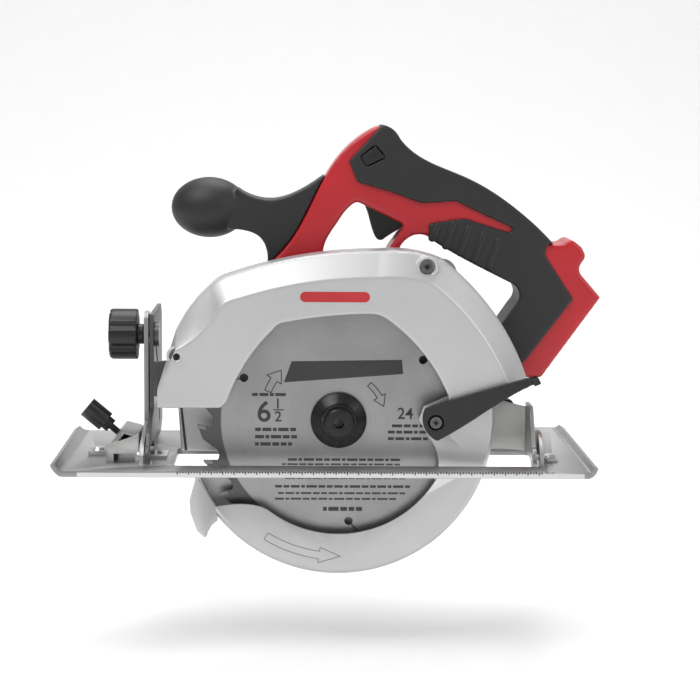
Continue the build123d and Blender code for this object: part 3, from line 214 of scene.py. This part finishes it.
# Painted shade: a dark sheet colour for the bevel quadrant, which sits in shade.
painted_shade_sheet = coat("painted_shade_sheet", (0.10, 0.10, 0.105), 0.42, metallic=0.7, grain=900, bump=0.15,
                  edge_highlight=(0.4, 0.4, 0.4))


def finish_of(node):
    """The material of a node: its slot's, except for the bevel quadrant, whose sheet is painted dark as
    shade.
    """
    return painted_shade_sheet if node == "front_bracket" else materials[slot_of[node]]


for node, carried in nodes.items():
    carried.data.materials.clear()
    carried.data.materials.append(finish_of(node))


# Building pieces from CAD nodes and from outlines.

def piece(name, mesh, body, material):
    """A new object riding on a CAD body."""
    made = bpy.data.objects.new(name, mesh)
    scene.collection.objects.link(made)
    mesh.materials.clear()
    mesh.materials.append(material)
    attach(made, body)
    return made


def finished(mesh, name, smooth):
    """The bmesh as mesh data, with its faces turned outwards."""
    bmesh.ops.recalc_face_normals(mesh, faces=mesh.faces[:])
    data = bpy.data.meshes.new(name)
    mesh.to_mesh(data)
    mesh.free()
    data.polygons.foreach_set("use_smooth", [smooth] * len(data.polygons))
    return data


def settled_mesh(made):
    """The object's mesh as its modifiers leave it."""
    bpy.context.view_layer.update()
    return bpy.data.meshes.new_from_object(made.evaluated_get(bpy.context.evaluated_depsgraph_get()))


def settled(made):
    """The object with its modifiers applied."""
    shaped = settled_mesh(made)
    made.modifiers.clear()
    made.data = shaped
    return made


def moulded(names, voxel, rounds):
    """One mesh of the CAD nodes together, with every edge rounded as a moulding's edges are."""
    joined = bmesh.new()
    for name in names:
        joined.from_mesh(nodes[name].data)
    mesh = bpy.data.meshes.new("blank")
    joined.to_mesh(mesh)
    joined.free()
    blank = bpy.data.objects.new("blank", mesh)
    scene.collection.objects.link(blank)
    skin = blank.modifiers.new("skin", "REMESH")
    skin.mode = "VOXEL"
    skin.voxel_size = voxel * MM
    soft = blank.modifiers.new("soft", "SMOOTH")
    soft.factor = 0.5
    soft.iterations = rounds
    shaped = settled(blank).data
    bpy.data.objects.remove(blank)
    shaped.polygons.foreach_set("use_smooth", [True] * len(shaped.polygons))
    return shaped


def half(mesh, y, keep_near):
    """The part of a mesh on one side of a plane across Y, closed at the cut."""
    cut = bmesh.new()
    cut.from_mesh(mesh)
    sliced = bmesh.ops.bisect_plane(
        cut, geom=cut.verts[:] + cut.edges[:] + cut.faces[:], plane_co=(0, y * MM, 0), plane_no=(0, 1, 0),
        clear_outer=keep_near, clear_inner=not keep_near)
    rim = [e for e in sliced["geom_cut"] if isinstance(e, bmesh.types.BMEdge)]
    bmesh.ops.triangle_fill(cut, use_beauty=True, use_dissolve=False, edges=rim)
    return finished(cut, "half", True)


def crisp(node, width):
    """Shows the CAD node with its sharp edges broken by a small bevel, as on pressed and machined parts."""
    mesh = nodes[node].data.copy()
    clean = bmesh.new()
    clean.from_mesh(mesh)
    bmesh.ops.remove_doubles(clean, verts=clean.verts[:], dist=0.00001)
    bmesh.ops.dissolve_limit(clean, angle_limit=math.radians(0.5),
                             verts=clean.verts[:], edges=clean.edges[:])
    clean.to_mesh(mesh)
    clean.free()
    made = piece(node + "_body", mesh, body_of[node], finish_of(node))
    edge = made.modifiers.new("edge", "BEVEL")
    edge.width = width * MM
    edge.segments = 3
    edge.limit_method = "ANGLE"
    edge.angle_limit = math.radians(SHARP_ANGLE)
    edge.harden_normals = True
    edge.use_clamp_overlap = True
    mesh.polygons.foreach_set("use_smooth", [True] * len(mesh.polygons))
    settled(made)
    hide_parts(node)


# The red shells and their soft grips, rounded as one body and parted again where the halves meet.

shells = moulded(["handle_left", "handle_right"], 1.0, 14)
for node, near in (("handle_left", True), ("handle_right", False)):
    shell = piece(node + "_shell", half(shells, PARTING, near), "housing",
                  materials["red_plastic"])
    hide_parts(node)
for node, voxel, rounds in (("grip_overmould", 0.9, 10), ("front_handle", 1.0, 12), ("bevel_knob", 0.5, 4),
                            ("trigger", 0.5, 6), ("guard_lever", 0.5, 5), ("battery_mount", 0.8, 4),
                            ("lock_off_button", 0.4, 3)):
    soft_piece = piece(node + "_skin", moulded([node], voxel, rounds), body_of[node],
                       materials[slot_of[node]])
    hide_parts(node)

# Machined and pressed parts with broken edges, and the two guard castings with soft ones.

for node, width in (("lower_guard", 0.5), ("shoe", 0.4), ("front_bracket", 0.3),
                    ("front_upright", 0.3), ("depth_link", 0.3), ("rear_pivot_bracket", 0.4),
                    ("fence_bracket", 0.3), ("gearcase", 0.6), ("outer_flange", 0.3), ("blade_bolt", 0.25),
                    ("motor_housing", 0.8), ("motor_end_cap", 0.8), ("fence_knob", 0.3),
                    ("depth_lever", 0.5)):
    crisp(node, width)
for node in ("guard_cover", "upper_guard"):
    cast = piece(node + "_cast", moulded([node], 0.7, 5), "housing",
                 materials["cast_magnesium"])
    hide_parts(node)


def boss_ring(name, x, y, z, radius, tube):
    """A rounded raised ring on the cover, about an axis along Y, at a place in mm."""
    mesh = bmesh.new()
    turns, sides = 48, 12
    loops = []
    for i in range(turns):
        a = 2 * math.pi * i / turns
        loops.append([mesh.verts.new(((x + (radius + tube * math.cos(b)) * math.cos(a)) * MM,
                                      (y + tube * math.sin(b)) * MM,
                                      (z + (radius + tube * math.cos(b)) * math.sin(a)) * MM))
                      for b in (2 * math.pi * j / sides for j in range(sides))])
    for i in range(turns):
        for j in range(sides):
            here, there = loops[i], loops[(i + 1) % turns]
            mesh.faces.new((here[j], here[(j + 1) % sides], there[(j + 1) % sides], there[j]))
    return piece(name, finished(mesh, name, True), "housing",
                 materials["cast_magnesium"])


boss_ring("cover_boss_top", 57.7, -48.6, 117.8, 5.4, 1.0)
boss_ring("cover_boss_front", -85.4, -48.6, 65.6, 5.0, 1.0)


# Printed marks: plain bars, a banner, turning arrows and size numbers in place of lettering, and painted
# shade for the guard's embossed arrow and a casting groove.

def print_on(name, shapes, y, body, material, thickness=0.06):
    """Thin flat shapes, each a list of (x, z) corners in mm, laid on a face that looks along -Y."""
    mesh = bmesh.new()
    for corners in shapes:
        front = [mesh.verts.new((x * MM, (y - thickness) * MM, z * MM)) for x, z in corners]
        back = [mesh.verts.new((x * MM, y * MM, z * MM)) for x, z in corners]
        mesh.faces.new(front)
        mesh.faces.new(back[::-1])
        for i in range(len(corners)):
            j = (i + 1) % len(corners)
            mesh.faces.new((front[i], back[i], back[j], front[j]))
    return piece(name, finished(mesh, name, False), body, material)


def bar(x0, x1, z, height):
    """The corners of an upright rectangle whose middle height is z."""
    return [(x0, z - height / 2), (x1, z - height / 2), (x1, z + height / 2), (x0, z + height / 2)]


def broken_row(x0, x1, z, height, phase):
    """A row of short bars of uneven length, with gaps."""
    bars, x, turn = [], x0, phase
    while x < x1 - 1.0:
        length = min((3.4, 5.2, 2.2, 6.1, 4.0)[turn % 5], x1 - x)
        bars.append(bar(x, x + length, z, height))
        x += length + 0.9
        turn += 1
    return bars


def around(radius, degrees):
    """A place (x, z) at a radius and angle about the blade's centre."""
    turn = math.radians(degrees)
    return BLADE_X + radius * math.cos(turn), BLADE_Z + radius * math.sin(turn)


def arrow_outline(inner, outer, start, neck, tip, flare, width):
    """The closed outline of an arrow that curves round the blade's centre, as short straight strokes."""
    steps = 8
    angles = [start + (neck - start) * i / steps for i in range(steps + 1)]
    path = [around(outer, a) for a in angles] + [around(outer + flare, neck)]
    path += [around((inner + outer) / 2, tip), around(inner - flare, neck)]
    path += [around(inner, a) for a in reversed(angles)]
    strokes = []
    for (x0, z0), (x1, z1) in zip(path, path[1:] + path[:1]):
        length = math.hypot(x1 - x0, z1 - z0)
        nx, nz = -(z1 - z0) / length * width / 2, (x1 - x0) / length * width / 2
        strokes.append([(x0 - nx, z0 - nz), (x1 - nx, z1 - nz), (x1 + nx, z1 + nz), (x0 + nx, z0 + nz)])
    return strokes


# Each row is its start, end, height on the blade and thickness.
rows = broken_row(-42.5, -22.2, 41.8, 1.8, 0)
for index, (x0, x1, z, height) in enumerate((
        (-40.7, -16.8, 21.2, 2.0), (-40.7, -14.5, 16.9, 2.0), (-40.7, -19.1, 12.6, 2.0),
        (39.2, 61.5, 23.6, 1.7), (36.9, 60.4, 19.9, 1.7), (37.0, 60.4, 16.0, 1.7),
        (-21.4, 44.2, 3.4, 1.5), (-24.9, 45.4, 0.6, 1.1), (-23.1, 47.3, -7.4, 1.5),
        (-28.9, 50.3, -12.6, 1.5), (-27.2, 47.4, -16.6, 1.1), (-28.9, 43.3, -20.0, 1.1),
        (-0.7, 22.2, -26.0, 2.4))):
    rows += broken_row(x0, x1, z, height, index)
rows += arrow_outline(42.5, 46.5, 158, 148, 139, 3.0, 0.6)
rows += arrow_outline(26.0, 29.0, 50, 30, 17, 2.4, 0.6)
print_on("blade_print", rows, BLADE_FACE, "blade", printed_black)
banner = [[(-24.0, 49.0), (45.4, 54.2), (44.6, 62.6), (-19.6, 61.4)]]
print_on("blade_banner", banner, BLADE_FACE, "blade", printed_black)
pill = [(5.0 + side * 17.0 + 3.0 * math.cos(math.radians(turn)), 100.6 + 3.0 * math.sin(math.radians(turn)))
        for side, first in ((1, -90), (-1, 90)) for turn in range(first, first + 181, 15)]
print_on("cover_mark", [pill], COVER_FACE, "housing", printed_red)


def digits(name, text, size, x, z):
    """Size numbers printed on the blade's face."""
    curve = bpy.data.curves.new(name, "FONT")
    curve.body = text
    curve.size = size * MM
    curve.extrude = 0.03 * MM
    curve.offset = 0.014 * size * MM
    holder = bpy.data.objects.new(name + "_text", curve)
    scene.collection.objects.link(holder)
    mesh = settled_mesh(holder)
    bpy.data.objects.remove(holder)
    mesh.transform(Matrix.Translation((x * MM, (BLADE_FACE - 0.03) * MM, z * MM))
                   @ Matrix.Rotation(math.radians(90), 4, "X"))
    return piece(name, mesh, "blade", printed_black)


digits("size_number", "6", 17.0, -39.8, 26.0)
digits("size_over", "1", 8.5, -29.6, 33.6)
digits("size_under", "2", 8.5, -29.4, 26.0)
print_on("size_stroke", [bar(-30.2, -24.0, 32.8, 0.7)], BLADE_FACE, "blade", printed_black)
digits("tooth_number", "24", 9.4, 42.2, 27.8)

# Painted shade: the lower guard's embossed arrow outline, drawn as darker strokes.
print_on("guard_arrow", arrow_outline(77.0, 81.5, 238, 262, 271, 2.4, 0.55), LOWER_GUARD_FACE,
         "lower_guard", arrow_relief_shade, 0.05)
# Painted shade: a dark strip on the casting wall for the shade in a narrow groove.
print_on("wall_groove_shade", [[(-82.6, 5.6), (-81.0, 5.6), (-84.2, 35.0), (-85.6, 35.0)]], CASTING_FACE,
         "housing", painted_groove_shade, 0.05)


# The cutting scale on the shoe's near edge: notches, every fourth one longer.

NEAR_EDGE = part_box("shoe")[0].y / MM
SCALE_START, NOTCH_PITCH, NOTCHES = -84.0, 1.6, 130
ticks = []
for index in range(NOTCHES):
    x = SCALE_START + index * NOTCH_PITCH
    depth = 1.7 if index % 4 == 0 else 1.0
    ticks.append([(x, 3.55 - depth), (x + 0.7, 3.55 - depth), (x + 0.7, 3.55), (x, 3.55)])
print_on("scale_strip", [[(-140.0, 0.25), (147.0, 0.25), (147.0, 2.75), (-140.0, 2.75)]], NEAR_EDGE, "shoe",
         bright_edge, 0.08)
print_on("cutting_scale", ticks, NEAR_EDGE, "shoe", printed_black, 0.1)


# Finger ridges under the red stripe of the grip.

def ridge(name, start, end, y, radius):
    """A soft raised bar with round ends between two (x, z) places in mm."""
    mesh = bmesh.new()
    bmesh.ops.create_uvsphere(mesh, u_segments=20, v_segments=12, radius=1.0)
    length = math.hypot(end[0] - start[0], end[1] - start[1]) / 2
    lean = math.atan2(end[1] - start[1], end[0] - start[0])
    for vert in mesh.verts:
        along, proud, side = vert.co.x, vert.co.y, vert.co.z
        x = (length if along > 0 else -length) * min(1.0, abs(along) * 4.0) + along * radius
        z = side * radius
        vert.co = ((start[0] + end[0]) / 2 + x * math.cos(lean) - z * math.sin(lean), y + proud * 1.3,
                   (start[1] + end[1]) / 2 + x * math.sin(lean) + z * math.cos(lean))
        vert.co *= MM
    return piece(name, finished(mesh, name, True), "housing", materials["soft_grip"])


for index, (top, foot) in enumerate((((66.5, 139.0), (63.0, 132.0)), ((75.5, 140.5), (71.0, 127.5)),
                                     ((84.5, 137.5), (79.5, 123.5)), ((93.5, 134.0), (88.0, 119.5)),
                                     ((102.5, 130.5), (97.0, 115.5)))):
    ridge(f"grip_ridge_{index + 1}", top, foot, -13.6, 2.4)


# Floor, light and camera.

# The floor is below the reach of the shoe when it is fully dropped, so no pose goes into it.
SHOE_DROP = 0.048
floor_z = cad_box[0][2] - SHOE_DROP
REACH, WALL, CURVE = 4.0, 2.2, 1.2
profile = [(-REACH, 0.0), (WALL - CURVE, 0.0)]
for step in range(1, 13):
    turn = math.radians(90 * step / 12)
    profile.append((WALL - CURVE + CURVE * math.sin(turn), CURVE - CURVE * math.cos(turn)))
profile.append((WALL, REACH))
sweep = bpy.data.meshes.new("backdrop")
points = [(x, y, floor_z + z) for y, z in profile for x in (-REACH, REACH)]
sweep.from_pydata(points, [], [(2 * i, 2 * i + 1, 2 * i + 3, 2 * i + 2) for i in range(len(profile) - 1)])
sweep.polygons.foreach_set("use_smooth", [True] * len(sweep.polygons))
backdrop = bpy.data.objects.new("backdrop", sweep)
scene.collection.objects.link(backdrop)
paper = coat("pale_paper", (0.88, 0.88, 0.88), 0.8, grain=300, bump=0.02, tone=0.01)
paper_shader = paper.node_tree.nodes["Principled BSDF"]
paper_shader.inputs["Emission Color"].default_value = (1, 1, 1, 1)
paper_shader.inputs["Emission Strength"].default_value = 0.22
sweep.materials.append(paper)


def lamp(name, place, size, watts):
    """A soft square light aimed at the saw."""
    light = bpy.data.lights.new(name, "AREA")
    light.energy = watts
    light.size = size
    made = bpy.data.objects.new(name, light)
    made.location = place
    made.rotation_euler = (Vector((0, 0, 0.06)) - Vector(place)).to_track_quat("-Z", "Y").to_euler()
    scene.collection.objects.link(made)


lamp("key", (-0.6, -0.7, 1.3), 0.8, 13)
lamp("fill", (1.2, -0.9, 0.7), 0.8, 5)
lamp("top", (0.1, 0.5, 1.5), 1.0, 14)
world = bpy.data.worlds.new("studio")
world.use_nodes = True
world.node_tree.nodes["Background"].inputs["Color"].default_value = (1, 1, 1, 1)
world.node_tree.nodes["Background"].inputs["Strength"].default_value = 0.42
scene.world = world
scene.view_settings.view_transform = "Standard"

CAMERA = Vector((-18.1, -1085.2, 207.1)) * MM
YAW, PITCH, ROLL = math.radians(1.77), math.radians(7.55), math.radians(0.54)
forward = Vector((math.sin(YAW) * math.cos(PITCH), math.cos(YAW) * math.cos(PITCH), -math.sin(PITCH)))
level = forward.cross(Vector((0, 0, 1))).normalized()
upright = level.cross(forward)
across = level * math.cos(ROLL) + upright * math.sin(ROLL)
above = upright * math.cos(ROLL) - level * math.sin(ROLL)
view = bpy.data.cameras.new("view")
view.sensor_width = 36.0
view.lens = 93.6
camera = bpy.data.objects.new("camera", view)
camera.matrix_world = Matrix((
    (across.x, above.x, -forward.x, CAMERA.x),
    (across.y, above.y, -forward.y, CAMERA.y),
    (across.z, above.z, -forward.z, CAMERA.z),
    (0, 0, 0, 1),
))
scene.collection.objects.link(camera)
scene.camera = camera

bpy.context.view_layer.update()
